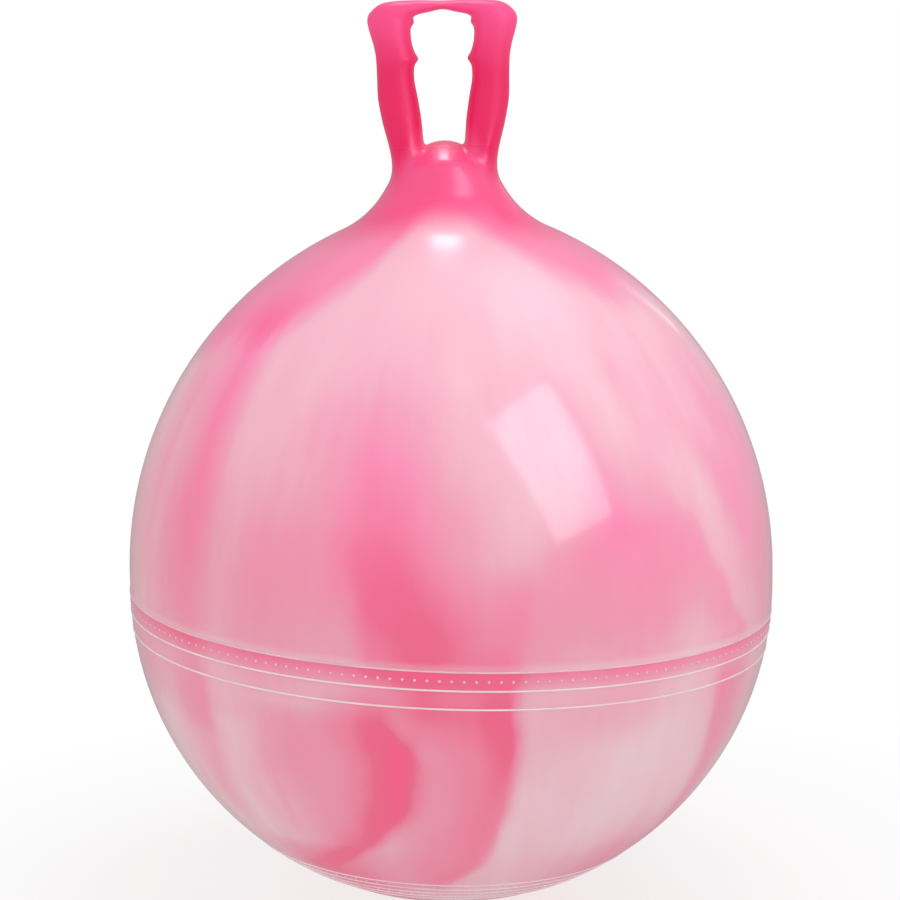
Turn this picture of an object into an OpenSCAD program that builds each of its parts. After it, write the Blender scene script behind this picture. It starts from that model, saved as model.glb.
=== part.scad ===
// Hopper ball: an inflated vinyl ball drawn up into a flared neck with a moulded loop handle,
// and a valve at the bottom pole that a pull-out plug closes.
// The origin is on the floor under the ball's centre. X runs across the loop, Y through it, Z is up.

/* [Ball] */
// Radius of the inflated ball at its equator
ball_r = 225; // [180:1:280]
// Height of the upright band between the lower half and the shoulder
equator_h = 11; // [6:1:18]
// How much larger the shoulder's radius is than the ball's
shoulder_gain = 34; // [20:1:45]
// Thickness of the vinyl wall
wall = 1.0; // [0.9:0.1:2]
// Radius of the flat patch that the inflated ball rests on
contact_r = 32; // [28:1:40]

/* [Moulded ribs] */
// Width of a moulded rib
rib_w = 1.4; // [1:0.1:1.6]
// Height of a rib above the skin
rib_h = 0.5; // [0.3:0.05:0.7]
// Drop of the first band rib below the ball's centre
band_drop = 9.3; // [4:0.1:20]
// Spacing of the band ribs
band_pitch = 12.4; // [8:0.1:16]
// Number of ribs in the band
band_ribs = 3; // [1:1:5]
// Radius of the outermost base ring
base_ring_r = 135.4; // [110:0.1:160]
// Spacing of the base rings along the skin
base_pitch = 9.4; // [6:0.1:12]
// Number of base rings
base_rings = 5; // [1:1:6]
// Tilt of all ribs against the handle, in degrees
rib_tilt = 2.7; // [0:0.1:4]

/* [Neck] */
// Height of the domed top above the crown that the shoulder alone would have
neck_rise = 40.2; // [32:0.1:50]
// Radius of the concave flare
flare_r = 68; // [55:1:80]
// Radius of the domed top
dome_r = 40.5; // [36:0.5:45]
// Thickness of the neck's wall
neck_wall = 3; // [2:0.1:5]

/* [Handle] */
// Height of the loop above the dome
loop_h = 95.5; // [80:0.5:115]
// Width across the loop's top corners
loop_w = 102.5; // [92:0.5:116]
// Greatest clear width between the grips
gap_w = 42.6; // [36:0.1:48]
// Depth of a grip, front to back
grip_d = 30; // [24:0.5:36]
// Thickness of the cross strap at its middle
strap_t = 5.4; // [4:0.1:8]
// Depth of the cross strap at its middle, front to back
strap_d = 24; // [18:0.5:30]

/* [Valve] */
// Radius of the bore
bore_r = 4.6; // [3.5:0.1:5.5]
// Length of the bore
bore_l = 13; // [9:0.5:18]
// Radius of the plug's head
head_r = 10; // [8:0.1:11]
// Thickness of the plug's head
head_t = 2.4; // [1.8:0.1:3]
// Radius of the seat's hub in the skin's hole
hub_r = 13; // [12.2:0.1:15]
// How far the flange stays inside the flat patch
flange_margin = 8; // [6:0.5:12]
// Thickness of the flange
flange_t = 3; // [2:0.1:4]

/* [Hidden] */
$fn = 96;

// Ball: centre height, shoulder and crown
patch_depth = sqrt(ball_r * ball_r - contact_r * contact_r);
ball_z = patch_depth;
shoulder_r = ball_r + shoulder_gain;
shoulder_c = [-shoulder_gain, equator_h];
crown_z = equator_h + sqrt(shoulder_r * shoulder_r - shoulder_gain * shoulder_gain);
dome_top = crown_z + neck_rise;
dome_c = [0, dome_top - dome_r];

// Flare: its circle touches the shoulder and the dome from outside
function meet(a, ra, b, rb) =
    let (
        span = norm(b - a),
        along = (ra * ra - rb * rb + span * span) / (2 * span),
        across = sqrt(ra * ra - along * along),
        u = (b - a) / span
    )
    a + along * u + across * [u[1], -u[0]];
flare_c = meet(shoulder_c, shoulder_r + flare_r, dome_c, dome_r + flare_r);
function toward(from, to, distance) = from + distance * (to - from) / norm(to - from);
flare_foot = toward(shoulder_c, flare_c, shoulder_r);
flare_top = toward(dome_c, flare_c, dome_r);

// Handle: its root in shares of the dome's radius, as height over the dome's centre, outer edge,
// inner edge and half depth
root_shares = [
    [0.10, 0.950, 0.20, 0.50],
    [0.36, 0.918, 0.24, 0.52],
    [0.60, 0.892, 0.29, 0.50],
    [0.92, 0.940, 0.34, 0.45],
];
// Grip: height over the dome in shares of loop_h, outer edge of loop_w / 2, inner edge of gap_w / 2,
// and half depth of grip_d / 2, with the finger nub where the inner edge comes in
grip_shares = [
    [0.12, 0.815, 0.700, 1.08],
    [0.30, 0.875, 0.815, 1.00],
    [0.44, 0.882, 0.925, 0.98],
    [0.54, 0.887, 0.905, 0.99],
    [0.58, 0.891, 0.790, 1.02],
    [0.62, 0.897, 0.880, 1.00],
    [0.70, 0.928, 0.985, 1.01],
    [0.78, 0.972, 1.015, 1.03],
    [0.835, 0.995, 0.985, 1.04],
    [0.862, 1.000, 0.915, 1.04],
];
// Corner and strap: outer edge in shares of loop_w / 2 and its drop from the top in shares of strap_t,
// then the inner edge in shares of gap_w / 2 and its drop, and half depth of strap_d / 2
strap_shares = [
    [0.960, 1.48, 0.885, 2.14, 1.27],
    [0.780, 0.30, 0.735, 1.78, 1.20],
    [0.400, 0.02, 0.400, 1.52, 1.06],
    [0.000, 0.12, 0.000, 1.20, 1.00],
];
rings_per_span = 3;
section_sides = 20;
section_power = 0.88;

// Stations of the right half: outer edge, inner edge and half depth, from the root to the strap's middle
loop_top = dome_top + loop_h;
stations = concat(
    [for (s = root_shares) let (z = dome_c[1] + s[0] * dome_r)
        [s[1] * dome_r, z, s[2] * dome_r, z, s[3] * dome_r]],
    [for (s = grip_shares) let (z = dome_top + s[0] * loop_h)
        [s[1] * loop_w / 2, z, s[2] * gap_w / 2, z, s[3] * grip_d / 2]],
    [for (s = strap_shares) let (outer_z = loop_top - s[1] * strap_t, inner_z = loop_top - s[3] * strap_t)
        [s[0] * loop_w / 2, outer_z, s[2] * gap_w / 2, inner_z, s[4] * strap_d / 2]]
);

// Smooth run through the stations, mirrored past the last one
function mirrored(s) = [-s[0], s[1], -s[2], s[3], s[4]];
function station(i) =
    let (last = len(stations) - 1)
    i < 0 ? 2 * stations[0] - stations[1] : i > last ? mirrored(stations[2 * last - i]) : stations[i];
function smooth(a, b, c, d, t) =
    0.5 * (2 * b + (c - a) * t + (2 * a - 5 * b + 4 * c - d) * t * t + (3 * b - a - 3 * c + d) * t * t * t);
half_run = [
    for (i = [0 : len(stations) - 2], k = [0 : rings_per_span - 1])
        smooth(station(i - 1), station(i), station(i + 1), station(i + 2), k / rings_per_span)
];
run = concat(
    half_run,
    [stations[len(stations) - 1]],
    [for (i = [len(half_run) - 1 : -1 : 0]) mirrored(half_run[i])]
);
function rounded(v) = sign(v) * pow(abs(v), section_power);
function section(s) =
    let (
        outer = [s[0], 0, s[1]],
        inner = [s[2], 0, s[3]],
        middle = (outer + inner) / 2,
        reach = (outer - inner) / 2
    )
    [for (k = [0 : section_sides - 1]) let (a = 360 * k / section_sides)
        middle + rounded(cos(a)) * reach + [0, rounded(sin(a)) * s[4], 0]];

// Valve: levels up from the floor and fits
hub_inset = 0.4;
head_sink = 0.5;
head_gap = 0.5;
hub_gap = 0.1;
fit_gap = 0.05;
flange_r = contact_r - flange_margin;
flange_edge = 1;
hub_top_wall = 4;
head_foot = hub_inset + head_sink;
recess_z = head_foot + head_t;
bore_top = recess_z + bore_l;
recess_r = head_r + head_gap;
stem_r = bore_r - fit_gap;
stem_tail = 4;
stem_top = bore_top + stem_tail;
tip_taper = 1.2;
land_count = 3;
groove_depth = 0.4;
groove_w = 2;
core_r = 2.4;
core_floor = 3;
head_round = 0.8;
dimple_r = 3.2;
dimple_depth = 0.6;
overrun = 1;

// Half of the outer form, drawn inset by a wall, with the ball's centre at zero
module outline(inset) {
    big = 2 * (crown_z + neck_rise);
    intersection() {
        translate([0, inset - patch_depth]) square([big, big]);
        union() {
            intersection() {
                circle(ball_r - inset);
                translate([-big, -big]) square([2 * big, big]);
            }
            square([ball_r - inset, equator_h]);
            intersection() {
                translate(shoulder_c) circle(shoulder_r - inset);
                translate([0, equator_h]) square([big, big]);
            }
            difference() {
                polygon([[0, flare_foot[1]], flare_foot, flare_c, flare_top, [0, flare_top[1]]]);
                translate(flare_c) circle(flare_r + inset);
            }
            translate(dome_c) circle(dome_r - inset);
        }
    }
}

module shell_profile(thickness) {
    difference() {
        outline(0);
        outline(thickness);
    }
}

// A ring of the ball's own curvature, at a polar angle from the bottom, rooted half-way into the wall
module rib(polar) {
    seat = ball_r + rib_h - rib_w / 2;
    rotate([0, rib_tilt, 0]) rotate_extrude() difference() {
        translate([seat * sin(polar), -seat * cos(polar)]) circle(rib_w / 2);
        circle(ball_r - wall / 2);
    }
}

module ball_skin() {
    color("pink") translate([0, 0, ball_z]) {
        difference() {
            rotate_extrude() difference() {
                shell_profile(wall);
                translate([0, flare_foot[1]]) square(crown_z);
            }
            translate([0, 0, -patch_depth - overrun]) cylinder(r = hub_r + hub_gap, h = wall + 2 * overrun);
        }
        for (i = [0 : band_ribs - 1]) rib(90 - asin((band_drop + i * band_pitch) / ball_r));
        for (i = [0 : base_rings - 1]) rib(asin(base_ring_r / ball_r) - i * base_pitch / ball_r * 180 / PI);
    }
}

module neck() {
    color("hotpink") translate([0, 0, ball_z]) rotate_extrude() intersection() {
        shell_profile(neck_wall);
        translate([0, flare_foot[1]]) square(crown_z);
    }
}

module loop() {
    rings = [for (s = run) section(s)];
    n = section_sides;
    last = len(rings) - 1;
    points = [for (ring = rings) each ring];
    sides = [
        for (i = [0 : last - 1], k = [0 : n - 1])
            let (a = i * n + k, b = i * n + (k + 1) % n)
            each [[a, a + n, b], [b, a + n, b + n]]
    ];
    caps = [for (k = [1 : n - 2]) each [[0, k, k + 1], [last * n, last * n + k + 1, last * n + k]]];
    polyhedron(points, concat(sides, caps));
}

module handle() {
    color("deeppink") translate([0, 0, ball_z]) difference() {
        loop();
        rotate_extrude() intersection() {
            outline(0);
            translate([0, flare_foot[1]]) square(crown_z);
        }
    }
}

module valve_seat() {
    color("mistyrose") rotate_extrude() polygon([
        [bore_r, recess_z],
        [recess_r, recess_z],
        [recess_r, hub_inset],
        [hub_r, hub_inset],
        [hub_r, wall],
        [flange_r, wall],
        [flange_r, wall + flange_edge],
        [hub_r, wall + flange_t],
        [bore_r + hub_top_wall, bore_top],
        [bore_r, bore_top],
    ]);
}

module valve_plug() {
    land_pitch = bore_l / (land_count + 1);
    color("whitesmoke") rotate_extrude() difference() {
        polygon([
            [0, head_foot],
            [head_r - head_round, head_foot],
            [head_r, head_foot + head_round],
            [head_r, recess_z],
            [stem_r, recess_z],
            [stem_r, stem_top - tip_taper],
            [stem_r - tip_taper, stem_top],
            [0, stem_top],
        ]);
        polygon([
            [0, head_foot - overrun],
            [dimple_r, head_foot - overrun],
            [dimple_r, head_foot],
            [0, head_foot + dimple_depth],
        ]);
        translate([0, recess_z + core_floor]) square([core_r, stem_top]);
        for (i = [1 : land_count])
            translate([stem_r - groove_depth, recess_z + i * land_pitch]) square([overrun, groove_w]);
    }
}

ball_skin();
neck();
handle();
valve_seat();
valve_plug();
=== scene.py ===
"""Looks of a marbled vinyl hopper ball with a moulded loop handle and a plugged valve."""

import logging
import math
from dataclasses import dataclass
from enum import Enum
from typing import Any, Iterable, Sequence, Union

import bmesh
import bpy
from bmesh.types import BMEdge, BMesh, BMVert
from mathutils import Matrix, Vector

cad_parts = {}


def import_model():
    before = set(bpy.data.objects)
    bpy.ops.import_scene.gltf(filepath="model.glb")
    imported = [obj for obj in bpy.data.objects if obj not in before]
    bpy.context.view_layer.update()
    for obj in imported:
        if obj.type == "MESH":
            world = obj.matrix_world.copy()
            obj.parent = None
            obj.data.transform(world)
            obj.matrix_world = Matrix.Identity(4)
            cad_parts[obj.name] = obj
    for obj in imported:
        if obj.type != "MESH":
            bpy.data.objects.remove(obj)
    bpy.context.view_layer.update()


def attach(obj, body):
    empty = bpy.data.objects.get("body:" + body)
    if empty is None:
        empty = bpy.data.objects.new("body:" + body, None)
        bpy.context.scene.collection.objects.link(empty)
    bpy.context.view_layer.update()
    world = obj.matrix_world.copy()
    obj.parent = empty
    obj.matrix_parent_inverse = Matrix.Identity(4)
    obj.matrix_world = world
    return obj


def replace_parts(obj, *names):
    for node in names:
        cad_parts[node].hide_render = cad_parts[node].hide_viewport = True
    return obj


MM = 0.001
FULL_TURN = 2.0 * math.pi
LOG = logging.getLogger("hopper_ball")

Colour = tuple[float, float, float, float]
Operand = Union["Signal", float]
Pairs = tuple[tuple[float, float], ...]
Grain = tuple[float, float, float]
Owner = Union[bpy.types.Material, bpy.types.World]

WHITE: Colour = (1.0, 1.0, 1.0, 1.0)


class Body(Enum):
    """The moving bodies of the frame."""

    BALL = "ball"
    PLUG = "plug"


class Slot(Enum):
    """The material slots of the record."""

    BALL = "ball_vinyl"
    SEAT = "seat_vinyl"
    PLUG = "plug_plastic"


class Ray(Enum):
    """The kinds of ray that the studio answers in ways of their own."""

    CAMERA = "Is Camera Ray"
    GLOSSY = "Is Glossy Ray"
    TRANSMISSION = "Is Transmission Ray"


def tone(red: float, green: float, blue: float) -> Colour:
    """Give the linear colour of a display colour.

    Args:
        red: Red level, from 0 to 255.
        green: Green level, from 0 to 255.
        blue: Blue level, from 0 to 255.

    Returns:
        The linear colour with full opacity.
    """

    def linear(level: float) -> float:
        """Undo the display curve of one level."""
        share = level / 255.0
        return share / 12.92 if share <= 0.04045 else ((share + 0.055) / 1.055) ** 2.4

    return linear(red), linear(green), linear(blue), 1.0


def fade(value: float, low: float, high: float) -> float:
    """Fall smoothly from 1 at low to 0 at high.

    Args:
        value: The value that is followed.
        low: Value up to which the result is 1.
        high: Value from which it is 0.

    Returns:
        The share, from 0 to 1.
    """
    share = min(max((high - value) / (high - low), 0.0), 1.0)
    return share * share * (3.0 - 2.0 * share)


class Signal:
    """A shader socket that takes part in arithmetic: each operation adds a Math node."""

    def __init__(self, board: "Board", socket: bpy.types.NodeSocket) -> None:
        """Keep the socket and the board that it belongs to."""
        self.board = board
        self.socket = socket

    def _math(self, operation: str, *operands: Operand) -> "Signal":
        """Add a Math node on the operands."""
        return self.board.node("ShaderNodeMath", {"operation": operation}, dict(enumerate(operands)))

    def __add__(self, other: Operand) -> "Signal":
        """Add."""
        return self._math("ADD", self, other)

    def __radd__(self, other: Operand) -> "Signal":
        """Add to a number."""
        return self._math("ADD", other, self)

    def __sub__(self, other: Operand) -> "Signal":
        """Subtract."""
        return self._math("SUBTRACT", self, other)

    def __rsub__(self, other: Operand) -> "Signal":
        """Subtract from a number."""
        return self._math("SUBTRACT", other, self)

    def __mul__(self, other: Operand) -> "Signal":
        """Multiply."""
        return self._math("MULTIPLY", self, other)

    def __rmul__(self, other: Operand) -> "Signal":
        """Multiply a number."""
        return self._math("MULTIPLY", other, self)

    def __truediv__(self, other: Operand) -> "Signal":
        """Divide."""
        return self._math("DIVIDE", self, other)

    def __gt__(self, other: Operand) -> "Signal":
        """Give 1 where this is greater, else 0."""
        return self._math("GREATER_THAN", self, other)

    def exp(self) -> "Signal":
        """Raise e to this power."""
        return self._math("EXPONENT", self)

    def degrees_from(self, other: "Signal") -> "Signal":
        """Give the angle of this over the other, in degrees."""
        return self._math("ARCTAN2", self, other) * math.degrees(1.0)

    def ease(self, low: float, high: float) -> "Signal":
        """Rise smoothly from 0 at low to 1 at high.

        Args:
            low: Value up to which the result is 0.
            high: Value from which it is 1.

        Returns:
            The share.
        """
        settings = {"interpolation_type": "SMOOTHSTEP"}
        levels = {"Value": self, "From Min": low, "From Max": high}
        return self.board.node("ShaderNodeMapRange", settings, levels)


class Board:
    """The node tree of a material or of the surroundings."""

    def __init__(self, owner: Owner) -> None:
        """Start an empty tree.

        Args:
            owner: The material or world that the tree belongs to.
        """
        self.owner = owner
        owner.use_nodes = True
        self.tree = owner.node_tree
        self.tree.nodes.clear()

    @classmethod
    def for_material(cls, name: str) -> "Board":
        """Start a new material."""
        return cls(bpy.data.materials.new(name))

    def node(
        self,
        kind: str,
        settings: dict[str, Any] | None = None,
        inputs: dict[str | int, Any] | None = None,
        output: str | int = 0,
    ) -> Signal:
        """Add a node.

        Args:
            kind: Type of the node.
            settings: Its settings, set first; stops fill a ramp and points a curve.
            inputs: Values or signals for its sockets, by name or number.
            output: The socket that is wanted from it.

        Returns:
            The wanted socket.
        """
        node = self.tree.nodes.new(kind)
        for key, value in (settings or {}).items():
            if key == "stops":
                self._fill_ramp(node.color_ramp, value)
            elif key == "points":
                self._fill_curve(node.mapping, value)
            else:
                setattr(node, key, value)
        for key, value in (inputs or {}).items():
            if isinstance(value, Signal):
                self.tree.links.new(value.socket, node.inputs[key])
            else:
                node.inputs[key].default_value = value
        return Signal(self, node.outputs[output])

    @staticmethod
    def _fill_ramp(ramp: bpy.types.ColorRamp, stops: Sequence[tuple[float, Colour]]) -> None:
        """Put the stops on a ramp.

        Args:
            ramp: The ramp.
            stops: Place and colour of each stop, in rising order.
        """
        while len(ramp.elements) < len(stops):
            ramp.elements.new(1.0)
        for element, (place, colour) in zip(ramp.elements, stops):
            element.position = place
            element.color = colour

    @staticmethod
    def _fill_curve(mapping: bpy.types.CurveMapping, points: Sequence[tuple[float, float]]) -> None:
        """Put the points on a curve.

        Args:
            mapping: The curve mapping of the node.
            points: Place and value of each point, in rising order.
        """
        mapping.extend = "HORIZONTAL"
        curve = mapping.curves[0]
        while len(curve.points) < len(points):
            curve.points.new(1.0, 1.0)
        for point, (place, value) in zip(curve.points, points):
            point.location = (place, value)
            point.handle_type = "AUTO_CLAMPED"
        mapping.update()

    def vector(self, operation: str, *operands: Any) -> Signal:
        """Add a Vector Math node on the operands."""
        return self.node("ShaderNodeVectorMath", {"operation": operation}, dict(enumerate(operands)))

    def mix(self, low: Any, high: Any, factor: Operand) -> Signal:
        """Mix two colours.

        Args:
            low: Colour at factor 0.
            high: Colour at factor 1.
            factor: How much of the second colour.

        Returns:
            The mixed colour.
        """
        return self.node("ShaderNodeMix", {"data_type": "RGBA"}, {0: factor, 6: low, 7: high}, 2)

    def place(self) -> Signal:
        """Give the place on the object."""
        return self.node("ShaderNodeTexCoord", output="Object")

    def axes(self, vector: Signal) -> tuple[Signal, Signal, Signal]:
        """Split a vector into its three axes."""
        split = self.node("ShaderNodeSeparateXYZ", inputs={0: vector}).socket.node
        return tuple(Signal(self, socket) for socket in split.outputs)

    def rays(self, *kinds: Ray) -> list[Signal]:
        """Give marks that are 1 on a ray of each kind, and else 0."""
        outputs = self.node("ShaderNodeLightPath").socket.node.outputs
        return [Signal(self, outputs[kind.value]) for kind in kinds]

    def noise(self, vector: Signal, grain: Grain) -> Signal:
        """Add a noise texture.

        Args:
            vector: Place that it is read at.
            grain: Features per unit of the place, octaves, and how strong the finer octaves are.

        Returns:
            The noise, about 0.5 on average.
        """
        inputs = {"Vector": vector, **dict(zip(("Scale", "Detail", "Roughness"), grain))}
        return self.node("ShaderNodeTexNoise", {"noise_dimensions": "3D"}, inputs)

    def cloud(self, vector: Signal, grain: Grain) -> Signal:
        """Give a noise that is about 0 on average."""
        return self.noise(vector, grain) - 0.5

    def bump(self, height: Signal, distance: float, strength: float) -> Signal:
        """Turn a height into a bumped normal.

        Args:
            height: The height, in shares of the distance.
            distance: What a height of 1 measures, in metres.
            strength: Strength of the bump.

        Returns:
            The normal.
        """
        inputs = {"Height": height, "Distance": distance, "Strength": strength}
        return self.node("ShaderNodeBump", None, inputs)

    def surface(self, **sockets: Any) -> bpy.types.Material:
        """End the tree in a Principled shader.

        Args:
            **sockets: Values or signals for its sockets, with underscores for spaces.

        Returns:
            The finished material.
        """
        inputs = {key.replace("_", " "): value for key, value in sockets.items()}
        return self.output(self.node("ShaderNodeBsdfPrincipled", None, inputs))

    def output(self, shader: Signal) -> Owner:
        """End the tree in a shader.

        Args:
            shader: The shader.

        Returns:
            The material or world.
        """
        kind = "World" if isinstance(self.owner, bpy.types.World) else "Material"
        end = self.tree.nodes.new("ShaderNodeOutput" + kind)
        self.tree.links.new(shader.socket, end.inputs["Surface"])
        return self.owner


@dataclass(frozen=True)
class Streak:
    """One soft streak of pigment that was drawn along the ball as it was moulded.

    The path gives its longitude at some heights and the force its strength there; left and right are the
    degrees over which it fades on either side. Heights are millimetres over the ball's centre, and
    longitudes are degrees to the right of the front.
    """

    path: Pairs
    force: Pairs
    left: float
    right: float


FRONT_STREAKS = (
    Streak(
        path=((-20, -51.5), (60, -51.5), (190, -51)),
        force=(
            (-22, 0), (-5, 0.16), (20, 0.26), (60, 0.34), (100, 0.36), (150, 0.38), (185, 0.34),
            (218, 0),
        ),
        left=10,
        right=6,
    ),
    Streak(
        path=((0, -69), (175, -66)),
        force=((10, 0), (50, 0.08), (130, 0.1), (165, 0.16), (200, 0)),
        left=6,
        right=6,
    ),
    Streak(
        path=((-30, -33), (60, -31), (120, -29), (200, -29)),
        force=(
            (-42, 0), (-25, 0.08), (0, 0.18), (30, 0.24), (60, 0.26), (90, 0.18), (120, 0.1),
            (160, 0.05), (205, 0),
        ),
        left=15,
        right=15,
    ),
    Streak(
        path=((-60, -6), (0, -4), (40, -8), (70, -9.5), (100, -10), (145, -14), (200, -13)),
        force=(
            (-66, 0), (-48, 0.22), (-30, 0.44), (0, 0.49), (30, 0.5), (65, 0.46), (85, 0.4),
            (115, 0.34), (145, 0.22), (180, 0.06), (212, 0),
        ),
        left=11,
        right=13,
    ),
    Streak(
        path=((-30, -13), (60, -14)),
        force=((-20, 0), (8, 0.16), (30, 0.14), (80, 0)),
        left=2,
        right=12,
    ),
    Streak(
        path=((-40, 11), (40, 13)),
        force=((-36, 0), (-8, 0.16), (20, 0.2), (60, 0)),
        left=11,
        right=2.5,
    ),
    Streak(
        path=((-40, 28), (0, 33), (60, 36), (110, 35), (160, 33)),
        force=(
            (-75, 0), (-45, 0.1), (-10, 0.14), (20, 0.24), (60, 0.28), (90, 0.16), (120, 0.08), (170, 0),
        ),
        left=12,
        right=10,
    ),
    Streak(
        path=((-10, 19), (55, 22), (75, 26), (110, 28)),
        force=((-24, 0), (0, 0.16), (25, 0.22), (55, 0.24), (75, 0.16), (100, 0.05), (125, 0)),
        left=9,
        right=9,
    ),
    Streak(
        path=(
            (-10, 58), (0, 55), (10, 52.5), (25, 50.5), (40, 47.5), (55, 46), (75, 44), (100, 41),
            (135, 36),
        ),
        force=((-28, 0), (-5, 0.16), (25, 0.18), (60, 0.16), (100, 0.06), (130, 0)),
        left=8,
        right=2.5,
    ),
    Streak(
        path=((60, 30), (110, 27), (160, 23)),
        force=((60, 0), (90, 0.1), (140, 0.12), (172, 0)),
        left=2.5,
        right=4,
    ),
    Streak(
        path=((50, 60), (85, 58), (115, 53), (150, 47)),
        force=((42, 0), (70, 0.12), (95, 0.16), (120, 0.14), (178, 0)),
        left=5,
        right=5,
    ),
    Streak(
        path=((-130, -49.5), (-75, -49), (-60, -50), (-25, -50.5)),
        force=((-142, 0), (-115, 0.12), (-75, 0.17), (-58, 0.28), (-35, 0.28), (-15, 0.18), (5, 0)),
        left=7,
        right=4,
    ),
    Streak(
        path=((-150, -27), (-90, -28), (-60, -29), (-40, -30)),
        force=((-168, 0), (-130, 0.18), (-100, 0.24), (-70, 0.26), (-50, 0.22), (-34, 0)),
        left=9,
        right=16,
    ),
    Streak(
        path=(
            (-168, -34), (-150, -24), (-135, -17.5), (-120, -13.5), (-105, -11.5), (-90, -10.5),
            (-75, -10), (-60, -11), (-45, -13), (-30, -14),
        ),
        force=(
            (-180, 0), (-162, 0.34), (-135, 0.48), (-105, 0.54), (-75, 0.56), (-55, 0.46), (-40, 0.28),
            (-22, 0),
        ),
        left=8,
        right=3,
    ),
    Streak(
        path=((-120, -9), (-90, -7), (-60, -8)),
        force=((-130, 0), (-100, 0.16), (-75, 0.2), (-55, 0.12), (-42, 0)),
        left=5,
        right=3,
    ),
    Streak(
        path=(
            (-178, -4), (-170, 0), (-160, 4), (-150, 6), (-130, 8), (-100, 9.5), (-70, 10), (-40, 10),
            (-25, 10.5),
        ),
        force=(
            (-190, 0), (-165, 0.32), (-140, 0.38), (-110, 0.42), (-80, 0.5), (-50, 0.54), (-30, 0.44),
            (-12, 0.22), (12, 0),
        ),
        left=7,
        right=2.2,
    ),
    Streak(
        path=((-170, -6), (-100, 0), (-50, 0)),
        force=((-190, 0), (-150, 0.28), (-100, 0.26), (-60, 0.24), (-40, 0.16), (-26, 0)),
        left=9,
        right=7,
    ),
    Streak(
        path=((-150, 60), (-100, 56.5), (-60, 54.5), (-30, 54)),
        force=((-180, 0), (-150, 0.3), (-120, 0.28), (-80, 0.34), (-50, 0.34), (-25, 0.12), (-8, 0)),
        left=3,
        right=9,
    ),
    Streak(
        path=((-200, -30), (-150, -32)),
        force=((-226, 0), (-200, 0.4), (-178, 0.46), (-164, 0.38), (-142, 0)),
        left=18,
        right=18,
    ),
    Streak(
        path=((-200, 48), (-150, 48)),
        force=((-226, 0), (-190, 0.34), (-165, 0.26), (-150, 0.14), (-125, 0)),
        left=22,
        right=28,
    ),
    Streak(
        path=((-60, -66), (0, -66)),
        force=((-60, 0), (-40, 0.1), (-15, 0.12), (0, 0.06), (15, 0)),
        left=10,
        right=8,
    ),
    Streak(
        path=((-20, 70), (160, 64)),
        force=((-40, 0), (0, 0.2), (60, 0.26), (110, 0.26), (150, 0.16), (190, 0)),
        left=10,
        right=16,
    ),
)

BACK_STREAKS = (
    Streak(
        path=((0, 96), (120, 92), (190, 97)),
        force=((-10, 0), (30, 0.22), (110, 0.34), (180, 0.3), (210, 0)),
        left=5,
        right=9,
    ),
    Streak(
        path=((10, 122), (90, 128), (170, 118)),
        force=((0, 0), (30, 0.2), (90, 0.3), (150, 0.18), (180, 0)),
        left=11,
        right=5,
    ),
    Streak(
        path=((0, 152), (80, 148), (160, 156)),
        force=((-30, 0), (25, 0.36), (80, 0.32), (140, 0.22), (190, 0)),
        left=4,
        right=11,
    ),
    Streak(
        path=((0, -98), (100, -94), (180, -99)),
        force=((-14, 0), (40, 0.22), (110, 0.34), (170, 0.28), (208, 0)),
        left=8,
        right=4,
    ),
    Streak(
        path=((-20, -128), (60, -122), (150, -130)),
        force=((-40, 0), (10, 0.34), (70, 0.36), (120, 0.2), (165, 0)),
        left=12,
        right=7,
    ),
    Streak(
        path=((10, -158), (90, -152), (170, -160)),
        force=((0, 0), (40, 0.2), (100, 0.36), (160, 0.26), (195, 0)),
        left=5,
        right=9,
    ),
    Streak(
        path=((-170, 84), (-120, 92), (-70, 100), (-30, 98)),
        force=((-180, 0), (-150, 0.36), (-100, 0.5), (-60, 0.44), (-20, 0)),
        left=7,
        right=3,
    ),
    Streak(
        path=((-150, 128), (-90, 122), (-40, 126)),
        force=((-160, 0), (-120, 0.28), (-70, 0.32), (-36, 0)),
        left=4,
        right=12,
    ),
    Streak(
        path=((-180, 168), (-140, 158), (-90, 152), (-45, 155)),
        force=((-188, 0), (-140, 0.44), (-90, 0.54), (-50, 0.34), (-16, 0)),
        left=3,
        right=7,
    ),
    Streak(
        path=((-160, -92), (-80, -86), (-40, -90)),
        force=((-170, 0), (-120, 0.28), (-60, 0.34), (-20, 0)),
        left=8,
        right=4,
    ),
    Streak(
        path=((-175, -140), (-130, -128), (-80, -120), (-40, -122)),
        force=((-182, 0), (-140, 0.4), (-90, 0.52), (-55, 0.36), (-30, 0)),
        left=3,
        right=8,
    ),
    Streak(
        path=((-150, -165), (-60, -158)),
        force=((-160, 0), (-110, 0.28), (-60, 0.24), (-35, 0)),
        left=8,
        right=10,
    ),
)

PALE_STREAKS = (
    Streak(
        path=((170, 25), (225, 22)),
        force=((165, 0), (195, 0.13), (222, 0.12), (240, 0)),
        left=16,
        right=22,
    ),
    Streak(
        path=((-130, -43), (-60, -43)),
        force=((-150, 0), (-120, 0.22), (-70, 0.22), (-50, 0)),
        left=5,
        right=5,
    ),
    Streak(
        path=((-140, 30), (-60, 32)),
        force=((-160, 0), (-125, 0.22), (-80, 0.2), (-50, 0)),
        left=16,
        right=18,
    ),
)

CAP_EDGE = (
    (-180, 205),
    (-150, 190),
    (-120, 175),
    (-95, 165),
    (-75, 165),
    (-60, 176),
    (-45, 186),
    (-38, 204),
    (-30, 220),
    (-22, 244),
    (-10, 260),
    (10, 260),
    (25, 246),
    (38, 220),
    (50, 208),
    (60, 200),
    (75, 206),
    (90, 190),
    (120, 198),
    (150, 182),
    (180, 205),
)


@dataclass(frozen=True)
class Drawing:
    """Places on the ball, and noises over it, that the marbling is drawn with."""

    x: Signal
    height: Signal
    turn: Signal
    wisps: Signal
    billow: Signal
    fine: Signal
    threads: Signal


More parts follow.
